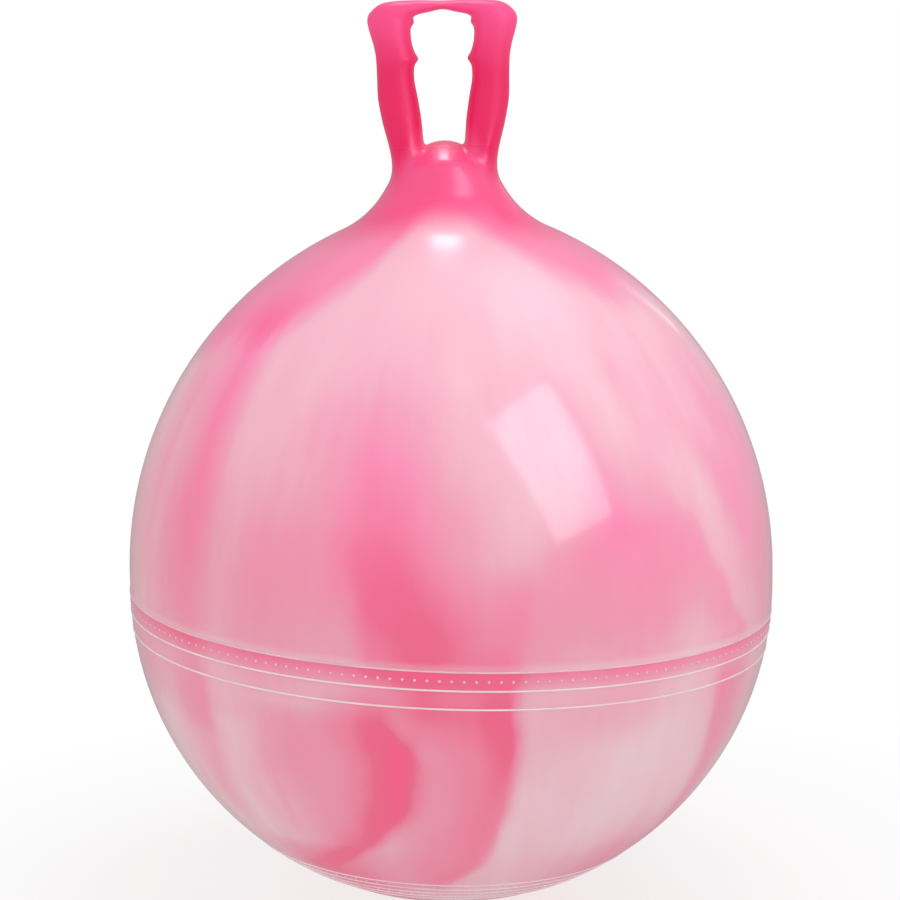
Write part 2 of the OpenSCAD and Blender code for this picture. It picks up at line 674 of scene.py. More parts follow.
@dataclass(frozen=True)
class MarbledVinyl:
    """Glossy marbled vinyl that deepens to one colour on the neck and the handle.

    Heights are millimetres over the ball's centre, spans run from where something starts to where it is
    full, and a grain is a noise's scale, detail and roughness.
    """

    centre_z: float
    tilt_deg: float
    strip: tuple[float, float]
    streaks: tuple[Streak, ...] = FRONT_STREAKS + BACK_STREAKS
    pales: tuple[Streak, ...] = PALE_STREAKS
    low_z: float = -225.0
    high_z: float = 275.0
    ground: float = 0.25
    blushes: tuple = ((-60.0, 30.0, 0.03), (120.0, 226.0, 0.05))
    cap_edge: Pairs = CAP_EDGE
    cap_rise: float = 26.0
    cap_force: float = 0.4
    cap_ragged: float = 60.0
    strip_force: float = 0.32
    strip_run: float = 4.0
    strip_edge: float = 0.5
    halo_force: float = 0.3
    halo_reach: float = 7.0
    drawn_stretch: float = 2.6
    hung_stretch: float = 0.9
    wisp_grain: Grain = (4.5, 4.0, 0.5)
    wisp_force: float = 0.24
    thread_grain: Grain = (13.0, 4.0, 0.55)
    thread_force: float = 0.12
    billow_grain: Grain = (7.0, 2.0, 0.5)
    billow_turn: float = 10.0
    billow_rise: float = 14.0
    fine_grain: Grain = (15.0, 3.0, 0.6)
    fine_turn: float = 2.0
    fine_gloss: float = 0.03
    calm_span: tuple[float, float] = (150.0, 235.0)
    calm_share: float = 0.85
    pole_span: tuple[float, float] = (-226.0, -185.0)
    cool_span: tuple[float, float] = (-60.0, 175.0)
    cool_ragged: float = 140.0
    cool_turn: float = 0.8
    neck_span: tuple[float, float] = (234.0, 258.0)
    neck_ragged: float = 18.0
    # the pale ground reaches higher up the neck at the front: partly pale marbling, partly a painted
    # highlight glow under the flare's highlight
    front_pale_and_highlight_deg: float = 38.0
    front_pale_and_highlight_rise: float = 14.0
    handle_span: tuple[float, float] = (300.0, 332.0)
    # painted sheen: heights over which the grips pale towards the loop's top, standing in for the top
    # light's sheen
    painted_top_sheen_span: tuple[float, float] = (350.0, 396.0)
    side_reach: float = 34.0
    side_drop: float = 28.0
    gloss_span: tuple[float, float] = (180.0, 226.0)
    ball_gloss: float = 0.11
    neck_gloss: float = 0.255
    coat_gloss: float = 0.52
    handle_gloss: float = 0.46
    skin_grain: Grain = (900.0, 2.0, 0.5)
    skin_share: float = 0.25
    swell_grain: Grain = (60.0, 2.0, 0.5)
    bump_mm: float = 0.04
    bump_strength: float = 0.6
    cool: tuple = (
        (0.16, tone(250, 219, 230)),
        (0.30, tone(248, 191, 209)),
        (0.42, tone(247, 167, 194)),
        (0.52, tone(254, 149, 188)),
        (0.62, tone(255, 126, 172)),
        (0.80, tone(255, 92, 146)),
    )
    warm: tuple = (
        (0.16, tone(234, 200, 209)),
        (0.30, tone(235, 176, 187)),
        (0.42, tone(236, 153, 174)),
        (0.54, tone(240, 132, 159)),
        (0.64, tone(238, 106, 139)),
        (0.72, tone(243, 99, 138)),
        (0.82, tone(254, 86, 131)),
    )
    neck: Colour = tone(255, 70, 138)
    grip: Colour = tone(237, 10, 95)
    # painted sheen: the paler pink that the loop's top is mixed to, in place of the top light's sheen
    painted_top_sheen: Colour = tone(251, 70, 138)

    def _along(self, pairs: Pairs, low: float, high: float) -> list[tuple[float, float]]:
        """Scale (height, value) pairs to the unit square of a curve."""
        reach = self.high_z - self.low_z
        return [((z - self.low_z) / reach, (value - low) / (high - low)) for z, value in pairs]

    def _streak(self, board: Board, streak: Streak, longitude: Signal, share: Signal) -> Signal:
        """Draw one streak.

        Args:
            board: Board of the material.
            streak: The streak.
            longitude: Warped longitude, in degrees.
            share: Warped height, from 0 to 1.

        Returns:
            The streak's strength.
        """
        path, force = (
            board.node("ShaderNodeFloatCurve", {"points": points}, {"Value": share})
            for points in (self._along(streak.path, -180.0, 180.0), self._along(streak.force, 0.0, 1.0))
        )
        away = longitude - (path * 360.0 - 180.0)
        off = away / ((away > 0.0) * (streak.right - streak.left) + streak.left)
        return (off * off * -1.0).exp() * force

    def _cap(self, board: Board, longitude: Signal, height: Signal) -> Signal:
        """Draw the deeper colour that spreads down from the neck by a different amount all round.

        Args:
            board: Board of the material.
            longitude: Warped longitude, in degrees.
            height: Warped height.

        Returns:
            The strength of the deeper colour.
        """
        reach = self.high_z - self.low_z
        points = [((turn + 180.0) / 360.0, (z - self.low_z) / reach) for turn, z in self.cap_edge]
        share = (longitude + 180.0) * (1.0 / 360.0)
        edge = board.node("ShaderNodeFloatCurve", {"points": points}, {"Value": share}) * reach + self.low_z
        return (height - edge).ease(-self.cap_rise / 3.0, self.cap_rise) * self.cap_force

    def _drawing(self, board: Board, place: Signal) -> Drawing:
        """Lay out what the marbling is drawn with, calmer under the neck and at the bottom pole.

        Args:
            board: Board of the material.
            place: Place on the object.

        Returns:
            The places and noises.
        """
        x, y, z = board.axes(place)
        height = (z - self.centre_z) * (1.0 / MM)
        flat = board.vector("NORMALIZE", board.vector("MULTIPLY", place, (1.0, 1.0, 0.0)))
        drawn, hung = (
            board.vector("ADD", flat, board.vector("MULTIPLY", place, (0.0, 0.0, stretch)))
            for stretch in (self.drawn_stretch, self.hung_stretch)
        )
        calm = (1.0 - height.ease(*self.calm_span) * self.calm_share) * height.ease(*self.pole_span)
        return Drawing(
            x=x,
            height=height,
            turn=x.degrees_from(y * -1.0),
            wisps=board.cloud(drawn, self.wisp_grain) * calm,
            billow=board.cloud(place, self.billow_grain),
            fine=board.cloud(drawn, self.fine_grain) * calm,
            threads=board.cloud(hung, self.thread_grain) * calm,
        )

    def _banded(self, drawing: Drawing, clear: Signal) -> Signal:
        """Deepen the strip under the band's top rib and pale the skin just over that rib.

        Args:
            drawing: What the marbling is drawn with.
            clear: How clear of pigment the skin is.

        Returns:
            How pink it is.
        """
        level = drawing.height + drawing.x * (math.tan(math.radians(self.tilt_deg)) / MM)
        low, high = self.strip
        over = level.ease(high - self.strip_edge, high + self.strip_edge)
        strip = level.ease(low - self.strip_run, high) * (1.0 - over)
        halo = over * (1.0 - level.ease(high, high + self.halo_reach))
        pink = 1.0 - clear * (1.0 - strip * self.strip_force)
        return pink * (1.0 - halo * self.halo_force)

    def _pink(self, board: Board, drawing: Drawing) -> Signal:
        """Draw the pigment: ground, streaks, cap, band and pale streaks.

        Args:
            board: Board of the material.
            drawing: What the marbling is drawn with.

        Returns:
            How pink the skin is, from 0 to 1.
        """
        longitude = drawing.turn + drawing.billow * self.billow_turn + drawing.fine * self.fine_turn
        warped = drawing.height + drawing.billow * self.billow_rise
        share = (warped - self.low_z) * (1.0 / (self.high_z - self.low_z))
        ground = drawing.wisps * self.wisp_force + drawing.threads * self.thread_force + self.ground
        for low, high, force in self.blushes:
            ground = ground + drawing.height.ease(low, high) * force
        clear = 1.0 - ground
        for streak in self.streaks:
            clear = clear * (1.0 - self._streak(board, streak, longitude, share))
        clear = clear * (1.0 - self._cap(board, longitude, warped + drawing.wisps * self.cap_ragged))
        pink = self._banded(drawing, clear)
        for pale in self.pales:
            pink = pink * (1.0 - self._streak(board, pale, longitude, share))
        return pink

    def _colour(self, board: Board, drawing: Drawing, grip_share: Signal) -> Signal:
        """Colour the marbling, the neck and the handle, with a painted sheen on the loop's top and the pale
        ground, partly a painted highlight, raised at the flare's front.

        Args:
            board: Board of the material.
            drawing: What the marbling is drawn with.
            grip_share: How much of the neck's colour is the grips' colour.

        Returns:
            The colour.
        """
        pink = self._pink(board, drawing)
        cool, warm = (
            board.node("ShaderNodeValToRGB", {"stops": stops}, {"Fac": pink})
            for stops in (self.cool, self.warm)
        )
        coolness = drawing.height + drawing.wisps * self.cool_ragged + drawing.turn * self.cool_turn
        marble = board.mix(warm, cool, coolness.ease(*self.cool_span))
        # lift the pale ground up the neck's front: partly pale pigment, partly a painted highlight glow on
        # the flare's front
        front = drawing.turn / self.front_pale_and_highlight_deg
        lift = (front * front * -1.0).exp() * self.front_pale_and_highlight_rise
        neck_share = (drawing.height + drawing.wisps * self.neck_ragged - lift).ease(*self.neck_span)
        # painted sheen: the grips pale towards the loop's top, as if lit by the top light
        grip = board.mix(self.grip, self.painted_top_sheen, drawing.height.ease(*self.painted_top_sheen_span))
        return board.mix(marble, board.mix(self.neck, grip, grip_share), neck_share)

    def material(self, name: str) -> bpy.types.Material:
        """Make the material.

        Args:
            name: Name of the material.

        Returns:
            The material.
        """
        board = Board.for_material(name)
        place = board.place()
        drawing = self._drawing(board, place)
        rise = drawing.height + drawing.billow * self.billow_rise
        drop = (drawing.x * drawing.x).ease(0.0, (self.side_reach * MM) ** 2) * self.side_drop
        grip_share = (rise + drop).ease(*self.handle_span)
        satin = drawing.height.ease(*self.gloss_span)
        gloss = satin * (self.neck_gloss - self.ball_gloss) + self.ball_gloss
        gloss = gloss + drawing.fine * self.fine_gloss
        gloss = gloss + rise.ease(*self.handle_span) * (self.handle_gloss - self.neck_gloss)
        grain = board.noise(place, self.skin_grain) * self.skin_share + board.noise(place, self.swell_grain)
        return board.surface(
            Base_Color=self._colour(board, drawing, grip_share),
            Roughness=gloss,
            Coat_Weight=satin * (1.0 - grip_share),
            Coat_Roughness=self.coat_gloss,
            Normal=board.bump(grain, self.bump_mm * MM, self.bump_strength),
        )


@dataclass(frozen=True)
class MouldedVinyl:
    """Plain moulded vinyl or plastic, with a faint cloud in its colour and a fine skin."""

    light: Colour
    dark: Colour
    gloss: float
    cloud_grain: Grain = (45.0, 3.0, 0.55)
    cloud_span: tuple[float, float] = (-0.25, 0.25)
    cloud_gloss: float = 0.1
    skin_grain: Grain = (1500.0, 2.0, 0.5)
    skin_gloss: float = 0.2
    bump_mm: float = 0.02
    bump_strength: float = 0.5

    def material(self, name: str) -> bpy.types.Material:
        """Make the material.

        Args:
            name: Name of the material.

        Returns:
            The material.
        """
        board = Board.for_material(name)
        place = board.place()
        cloud, skin = board.cloud(place, self.cloud_grain), board.cloud(place, self.skin_grain)
        return board.surface(
            Base_Color=board.mix(self.dark, self.light, cloud.ease(*self.cloud_span)),
            Roughness=skin * self.skin_gloss + cloud * self.cloud_gloss + self.gloss,
            Normal=board.bump(skin, self.bump_mm * MM, self.bump_strength),
        )


@dataclass(frozen=True)
class FloorPaint:
    """White studio floor that keeps the object's soft shadow near it and is clear from below."""

    gloss_level: float
    paint: Colour = (0.86, 0.86, 0.86, 1.0)
    lift: float = 0.8
    shadow_span: tuple[float, float] = (0.2, 0.55)
    shade: float = 0.3

    def material(self, name: str) -> bpy.types.Material:
        """Make the material.

        Args:
            name: Name of the material.

        Returns:
            The material.
        """
        board = Board.for_material(name)
        distance = board.node("ShaderNodeVectorMath", {"operation": "LENGTH"}, {0: board.place()}, "Value")
        seen, gloss, through = board.rays(Ray.CAMERA, Ray.GLOSSY, Ray.TRANSMISSION)
        clear = 1.0 - (1.0 - distance.ease(*self.shadow_span)) * self.shade
        white = (seen + through + gloss) * (clear - self.lift) + self.lift
        level = 1.0 - gloss * (1.0 - self.gloss_level)
        paint = board.node("ShaderNodeBsdfDiffuse", None, {"Color": self.paint})
        glow = board.node("ShaderNodeEmission", None, {"Color": WHITE, "Strength": level})
        above = board.node("ShaderNodeMixShader", None, {0: white, 1: paint, 2: glow})
        below = board.node("ShaderNodeBsdfTransparent")
        under = board.node("ShaderNodeNewGeometry", output="Backfacing")
        return board.output(board.node("ShaderNodeMixShader", None, {0: under, 1: above, 2: below}))


@dataclass(frozen=True)
class BallForm:
    """Outer form of the inflated ball, in millimetres, with the ball's centre at zero height."""

    ball_r: float = 225.0
    equator_h: float = 11.0
    shoulder_gain: float = 34.0
    wall: float = 1.0
    contact_r: float = 32.0
    neck_rise: float = 40.2
    flare_r: float = 68.0
    dome_r: float = 40.5
    hole_r: float = 13.1

    @property
    def centre_z(self) -> float:
        """Height of the ball's centre over the floor."""
        return math.sqrt(self.ball_r**2 - self.contact_r**2)

    @property
    def shoulder_centre(self) -> Vector:
        """Centre of the shoulder's arc."""
        return Vector((-self.shoulder_gain, self.equator_h))

    @property
    def shoulder_r(self) -> float:
        """Radius of the shoulder's arc."""
        return self.ball_r + self.shoulder_gain

    @property
    def dome_top(self) -> float:
        """Height of the dome's top."""
        return self.equator_h + math.sqrt(self.shoulder_r**2 - self.shoulder_gain**2) + self.neck_rise

    @property
    def dome_centre(self) -> Vector:
        """Centre of the dome."""
        return Vector((0.0, self.dome_top - self.dome_r))

    @property
    def flare_centre(self) -> Vector:
        """Centre of the flare's arc, which touches the shoulder and the dome from outside.

        Returns:
            The centre, as radius and height.
        """
        low, high = self.shoulder_centre, self.dome_centre
        low_reach, high_reach = self.shoulder_r + self.flare_r, self.dome_r + self.flare_r
        span = (high - low).length
        along = (low_reach**2 - high_reach**2 + span**2) / (2.0 * span)
        across = math.sqrt(low_reach**2 - along**2)
        axis = (high - low) / span
        return low + along * axis + across * Vector((axis.y, -axis.x))

    def flare_radius(self, height: float) -> float:
        """Give the flare's radius about the axis at a height."""
        centre = self.flare_centre
        return centre.x - math.sqrt(self.flare_r**2 - (height - centre.y) ** 2)

    @staticmethod
    def arc(centre: Vector, radius: float, start: float, end: float, steps: int) -> list[Vector]:
        """Give points along an arc.

        Args:
            centre: Centre of the arc.
            radius: Its radius.
            start: First angle, in radians.
            end: Last angle.
            steps: Number of steps.

        Returns:
            The points, as radius and height.
        """
        angles = [start + (end - start) * i / steps for i in range(steps + 1)]
        return [centre + radius * Vector((math.cos(a), math.sin(a))) for a in angles]

    def lower_run(self, inset: float, steps: int) -> list[Vector]:
        """Give the run from the flat patch up to the shoulder's end, drawn inset.

        Args:
            inset: Distance inside the outer form.
            steps: Steps on each of its two arcs.

        Returns:
            The points.
        """
        turn = math.asin((self.centre_z - inset) / (self.ball_r - inset))
        up = self.flare_centre - self.shoulder_centre
        belly = self.arc(Vector((0.0, 0.0)), self.ball_r - inset, -turn, 0.0, steps)
        end = math.atan2(up.y, up.x)
        shoulder = self.arc(self.shoulder_centre, self.shoulder_r - inset, 0.0, end, steps)
        return belly + shoulder

    def flare_run(self, inset: float, start_share: float, end_share: float, steps: int) -> list[Vector]:
        """Give a stretch of the flare, drawn inset.

        Args:
            inset: Distance inside the outer form.
            start_share: Where it starts, from 0 at the shoulder to 1 at the dome.
            end_share: Where it ends.
            steps: Number of steps.

        Returns:
            The points.
        """
        foot = self.shoulder_centre - self.flare_centre
        head = self.dome_centre - self.flare_centre
        low = math.atan2(foot.y, foot.x) + FULL_TURN
        high = math.atan2(head.y, head.x) + FULL_TURN
        start, end = (low + (high - low) * share for share in (start_share, end_share))
        return self.arc(self.flare_centre, self.flare_r + inset, start, end, steps)

    def dome_run(self, inset: float, steps: int) -> list[Vector]:
        """Give the run over the dome to the axis, drawn inset.

        Args:
            inset: Distance inside the outer form.
            steps: Number of steps.

        Returns:
            The points.
        """
        out = self.flare_centre - self.dome_centre
        start = math.atan2(out.y, out.x)
        return self.arc(self.dome_centre, self.dome_r - inset, start, math.pi / 2.0, steps)


def draw_profile(bm: BMesh, points: Iterable[Vector]) -> list:
    """Draw a profile of radius and height in the upright plane through X.

    Args:
        bm: Mesh to draw in.
        points: The profile's points.

    Returns:
        Its vertices and edges.
    """
    verts = [bm.verts.new((point.x, 0.0, point.y)) for point in points]
    edges = [bm.edges.new(pair) for pair in zip(verts, verts[1:])]
    return verts + edges


def turn_profile(bm: BMesh, geometry: list, steps: int) -> None:
    """Turn a profile a full turn about Z and close it on the axis.

    Args:
        bm: Mesh that holds it.
        geometry: Its vertices and edges.
        steps: Steps in the turn.
    """
    bmesh.ops.spin(
        bm, geom=geometry, cent=(0, 0, 0), axis=(0, 0, 1), angle=FULL_TURN, steps=steps, use_merge=True
    )
    bmesh.ops.remove_doubles(bm, verts=bm.verts, dist=1e-4)
    bmesh.ops.recalc_face_normals(bm, faces=bm.faces)


def place_mesh(bm: BMesh, name: str, material: bpy.types.Material | None = None) -> bpy.types.Object:
    """Put a mesh in the scene.

    Args:
        bm: The mesh, which is freed.
        name: Name of the object.
        material: Its finish, if it has one.

    Returns:
        The object.
    """
    mesh = bpy.data.meshes.new(name)
    bm.to_mesh(mesh)
    bm.free()
    if material is not None:
        mesh.materials.append(material)
    thing = bpy.data.objects.new(name, mesh)
    bpy.context.scene.collection.objects.link(thing)
    return thing


def publish(
    bm: BMesh,
    name: str,
    material: bpy.types.Material,
    body: Body,
    lift: float = 0.0,
) -> bpy.types.Object:
    """Turn a mesh in millimetres into a finished piece on its body.

    Args:
        bm: The mesh, which is freed.
        name: Name of the piece.
        material: Its finish.
        body: Body that it rides on.
        lift: Height that the mesh's zero stands at, in millimetres.

    Returns:
        The piece.
    """
    bmesh.ops.translate(bm, vec=(0.0, 0.0, lift), verts=bm.verts)
    bmesh.ops.scale(bm, vec=(MM, MM, MM), verts=bm.verts)
    for face in bm.faces:
        face.smooth = True
    piece = place_mesh(bm, name, material)
    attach(piece, body.value)
    LOG.info("%s: %d faces on %s", name, len(piece.data.polygons), body.value)
    return piece


@dataclass(frozen=True)
class LoopHandle:
    """Loop handle, as stations along its right half from the root to the strap's middle.

    Root stations hold a height, an outer and an inner edge and a half depth, all in shares of the dome's
    radius. Grip stations hold the same in shares of the loop's height, half its width, half the gap and
    half the grip's depth. Strap stations hold an outer edge and its drop, an inner edge and its drop, and
    a half depth, with the drops in shares of the strap's thickness. Nubs hold a height, an inner edge and a
    reach.
    """

    form: BallForm
    loop_h: float = 95.5
    loop_w: float = 102.5
    gap_w: float = 42.6
    grip_d: float = 30.0
    strap_t: float = 5.4
    strap_d: float = 24.0
    root_shares: tuple = (
        (0.10, 0.950, 0.20, 0.50),
        (0.36, 0.918, 0.24, 0.52),
        (0.60, 0.892, 0.29, 0.50),
        (0.92, 0.940, 0.34, 0.45),
    )
    grip_shares: tuple = (
        (0.12, 0.815, 0.700, 1.08),
        (0.30, 0.875, 0.815, 1.00),
        (0.44, 0.882, 0.925, 0.98),
        (0.54, 0.887, 0.905, 0.99),
        (0.58, 0.891, 0.790, 1.02),
        (0.62, 0.897, 0.880, 1.00),
        (0.70, 0.928, 0.985, 1.01),
        (0.78, 0.972, 1.015, 1.03),
        (0.835, 0.995, 0.995, 1.04),
        (0.862, 1.000, 0.985, 1.04),
    )
    strap_shares: tuple = (
        (0.960, 1.48, 0.950, 2.14, 1.27),
        (0.780, 0.30, 0.735, 1.78, 1.20),
        (0.400, 0.02, 0.400, 1.52, 1.06),
        (0.000, 0.12, 0.000, 1.20, 1.00),
    )
    nub_shares: tuple = ((0.845, 1.0, 0.125), (0.585, 0.93, 0.16))
    nub_form: tuple[float, float, float] = (1.0, 2.0, 0.8)
    nub_rounds: int = 3
    steps: int = 5
    sides: int = 40
    squareness: float = 0.88

    def stations(self) -> list[Vector]:
        """Give the stations of the right half.

        Returns:
            Outer x and z, inner x and z, and half depth of each.
        """
        dome, top = self.form.dome_r, self.form.dome_top
        half_loop, half_gap = self.loop_w / 2.0, self.gap_w / 2.0
        found = []
        for rise, outer, inner, depth in self.root_shares:
            z = self.form.dome_centre.y + rise * dome
            found.append(Vector((outer * dome, z, inner * dome, z, depth * dome)))
        for rise, outer, inner, depth in self.grip_shares:
            z = top + rise * self.loop_h
            found.append(Vector((outer * half_loop, z, inner * half_gap, z, depth * self.grip_d / 2.0)))
        for outer, outer_drop, inner, inner_drop, depth in self.strap_shares:
            outer_z, inner_z = (
                top + self.loop_h - drop * self.strap_t for drop in (outer_drop, inner_drop)
            )
            half_depth = depth * self.strap_d / 2.0
            found.append(Vector((outer * half_loop, outer_z, inner * half_gap, inner_z, half_depth)))
        return found

    @staticmethod
    def _mirrored(station: Vector) -> Vector:
        """Give the station on the left half."""
        return Vector((-station[0], station[1], -station[2], station[3], station[4]))

    @staticmethod
    def _between(around: Sequence[Vector], t: float) -> Vector:
        """Give a station between the middle two of four.

        Args:
            around: The four stations.
            t: Share of the way, from 0 at the second to 1 at the third.

        Returns:
            The station on a smooth curve through them.
        """
        a, b, c, d = around
        bend = (2.0 * a - 5.0 * b + 4.0 * c - d) * t**2 + (3.0 * b - a - 3.0 * c + d) * t**3
        return 0.5 * (2.0 * b + (c - a) * t + bend)

    def run(self) -> list[Vector]:
        """Give the whole loop's stations, smoothed.

        Returns:
            The stations from the right root to the left one.
        """
        half = self.stations()
        first = 2.0 * half[0] - half[1]
        padded = [first, *half, *(self._mirrored(station) for station in reversed(half[:-1]))]
        padded.append(self._mirrored(first))
        smooth = [
            self._between(around, step / self.steps)
            for around in zip(padded, padded[1:], padded[2:], padded[3:])
            for step in range(self.steps)
        ]
        return [*smooth, padded[-2]]

    def _ring(self, bm: BMesh, station: Vector, capped: bool) -> list[BMEdge]:
        """Draw the section at one station.

        Args:
            bm: Mesh to draw in.
            station: The station.
            capped: Whether the section is filled.

        Returns:
            The section's edges.
        """
        outer, inner = Vector((station[0], 0.0, station[1])), Vector((station[2], 0.0, station[3]))
        middle, reach = (outer + inner) / 2.0, (outer - inner) / 2.0
        made = bmesh.ops.create_circle(bm, cap_ends=capped, segments=self.sides, radius=1.0)["verts"]
        for vert in made:
            for axis in (0, 1):
                vert.co[axis] = math.copysign(abs(vert.co[axis]) ** self.squareness, vert.co[axis])
        across = Vector((0.0, station[4], 0.0))
        frame = Matrix((reach, across, reach.cross(across).normalized())).transposed().to_4x4()
        bmesh.ops.transform(bm, matrix=Matrix.Translation(middle) @ frame, verts=made)
        return list({edge for vert in made for edge in vert.link_edges})

    def draw(self, bm: BMesh) -> None:
        """Draw the closed loop.

        Args:
            bm: Mesh to draw in.
        """
        run = self.run()
        rings = [self._ring(bm, station, i in (0, len(run) - 1)) for i, station in enumerate(run)]
        for low, high in zip(rings, rings[1:]):
            bmesh.ops.bridge_loops(bm, edges=low + high)
        self._nubs(bm)

    def _nubs(self, bm: BMesh) -> None:
        """Draw the small finger nubs on the inner sides of both grips.

        Args:
            bm: Mesh to draw in.
        """
        half_gap = self.gap_w / 2.0
        for rise, inner, size in self.nub_shares:
            for side in (-1.0, 1.0):
                spot = Vector((side * inner * half_gap, 0.0, self.form.dome_top + rise * self.loop_h))
                shape = Matrix.Diagonal(size * half_gap * Vector(self.nub_form)).to_4x4()
                place = Matrix.Translation(spot) @ shape
                bmesh.ops.create_icosphere(bm, subdivisions=self.nub_rounds, radius=1.0, matrix=place)


@dataclass(frozen=True)
class Moulding:
    """The one-piece vinyl moulding: ball, flared neck and loop handle."""

    form: BallForm
    handle: LoopHandle
    turn_steps: int = 180
    neck_turn_steps: int = 120
    belly_steps: int = 70
    flare_steps: int = 24
    dome_steps: int = 40
    seam_steps: int = 10
    inner_steps: int = 8
    cut_share: float = 0.42
    overlap_share: float = 0.25
    seam_mm: float = 1.6
    voxel_mm: float = 1.3
    blend_mm: float = 9.0
    soft_factor: float = 0.5
    soft_passes: int = 5
    valley_passes: int = 6
    crease_passes: int = 34
    valley_span: tuple[float, float] = (-8.0, 9.0)
    crease_span: tuple[float, float] = (-30.0, -5.0)
    root_reach: float = 44.0
    ridge_slope: float = 0.24
    ridge_round: float = 7.0
    ridge_fall_r: float = 110.0
    ridge_cross_r: float = 26.0
    ridge_inner_r: float = 33.0
    ridge_outer_r: float = 43.0
    settle_x: tuple[float, float] = (9.0, 16.0)
    settle_y: tuple[float, float] = (30.0, 39.0)

    def _ridge(self, spot: Vector) -> float:
        """Follow the dome's ridge, which slopes off to the front and the back.

        Args:
            spot: Place over which it is wanted.

        Returns:
            Its height.
        """
        slope = math.hypot(spot.y, self.ridge_round) - self.ridge_round
        fall = spot.y**2 / (2.0 * self.ridge_fall_r) + spot.x**2 / (2.0 * self.ridge_cross_r)
        return self.form.dome_top - self.ridge_slope * slope - fall

    def _settle_dome(self, skin: BMesh) -> None:
        """Lay the middle of the smoothed dome on its ridge again.

        Args:
            skin: The fused skin.
        """
        top, radius = self.form.dome_top, self.form.dome_r
        low, high = top - radius / 2.0, top + radius / 3.0
        for vert in skin.verts:
            if low < vert.co.z < high:
                share = fade(abs(vert.co.x), *self.settle_x) * fade(abs(vert.co.y), *self.settle_y)
                vert.co.z += (self._ridge(vert.co) - vert.co.z) * share

    def _raise_ridge(self, block: BMesh) -> None:
        """Draw the dome between the grips up into a soft ridge.

        Args:
            block: The turned neck.
        """
        for vert in block.verts:
            radius = vert.co.xy.length
            if vert.co.z > self.form.dome_centre.y:
                share = fade(radius, self.ridge_inner_r, self.ridge_outer_r)
                vert.co.z += (self._ridge(vert.co) - vert.co.z) * share

    def _neck_and_handle(self) -> BMesh:
        """Fuse the neck and the handle into one skin.

        Returns:
            The skin's mesh.
        """
        block = bmesh.new()
        start = self.cut_share - self.overlap_share
        neck = self.form.flare_run(0.0, start, 1.0, self.flare_steps)
        neck += self.form.dome_run(0.0, self.dome_steps)[1:]
        foot = Vector((0.0, neck[0].y))
        turn_profile(block, draw_profile(block, [foot, *neck]), self.neck_turn_steps)
        self._raise_ridge(block)
        self.handle.draw(block)
        blank = place_mesh(block, "handle_blank")
        mesh = blank.data
        fuse = blank.modifiers.new("fuse", "REMESH")
        fuse.mode = "VOXEL"
        fuse.voxel_size = self.voxel_mm
        fused = bpy.data.meshes.new_from_object(blank.evaluated_get(bpy.context.evaluated_depsgraph_get()))
        skin = bmesh.new()
        skin.from_mesh(fused)
        bpy.data.objects.remove(blank)
        bpy.data.meshes.remove(mesh)
        bpy.data.meshes.remove(fused)
        return skin

    def _root_verts(self, skin: BMesh, span: tuple[float, float]) -> list[BMVert]:
        """Pick the vertices round the grips' roots.

        Args:
            skin: The fused skin.
            span: The two heights over the dome's top between which they lie.

        Returns:
            The vertices.
        """
        low, high = (self.form.dome_top + height for height in span)
        level = [vert for vert in skin.verts if low < vert.co.z < high]
        return [vert for vert in level if vert.co.xy.length < self.root_reach]

    def _soften(self, skin: BMesh) -> None:
        """Smooth the fused skin, most where the grips' roots run out on the neck.

        Args:
            skin: The fused skin.
        """
        rounds = (
            (self._root_verts(skin, self.crease_span), self.crease_passes),
            (self._root_verts(skin, self.valley_span), self.valley_passes),
            (list(skin.verts), self.soft_passes),
        )
        for verts, passes in rounds:
            for _ in range(passes):
                bmesh.ops.smooth_vert(
                    skin,
                    verts=verts,
                    factor=self.soft_factor,
                    use_axis_x=True,
                    use_axis_y=True,
                    use_axis_z=True,
                )

    def _cut(self, skin: BMesh) -> None:
        """Lay the lower end on the flare and cut it square.

        Args:
            skin: The fused skin.
        """
        cut = self.form.flare_run(0.0, self.cut_share, self.cut_share, 1)[0].y
        for vert in skin.verts:
            blend = min(max(1.0 - (vert.co.z - cut) / self.blend_mm, 0.0), 1.0)
            radius = vert.co.xy.length
            if blend > 0.0 and radius > self.form.dome_r / 2.0:
                aim = self.form.flare_radius(vert.co.z)
                vert.co.xy *= 1.0 + blend * (aim / radius - 1.0)
        bmesh.ops.bisect_plane(
            skin,
            geom=skin.verts[:] + skin.edges[:] + skin.faces[:],
            plane_co=(0.0, 0.0, cut),
            plane_no=(0.0, 0.0, 1.0),
            clear_inner=True,
        )

    def _ball(self, bm: BMesh) -> None:
        """Turn the ball's wall, from the seam on the flare round its valve hole to the inner top.

        Args:
            bm: Mesh to draw in.
        """
        form = self.form
        floor = -form.centre_z
        seam_share = self.cut_share - self.seam_mm / form.flare_r
        outer = form.lower_run(0.0, self.belly_steps)
        outer += form.flare_run(0.0, 0.0, seam_share, self.seam_steps)[1:]
        inner = form.lower_run(form.wall, self.belly_steps // 3)
        inner += form.flare_run(form.wall, 0.0, 1.0, self.inner_steps)[1:]
        inner += form.dome_run(form.wall, self.inner_steps)[1:]
        hole = [Vector((form.hole_r, floor)), Vector((form.hole_r, floor + form.wall))]
        turn_profile(bm, draw_profile(bm, [*reversed(outer), *hole, *inner]), self.turn_steps)

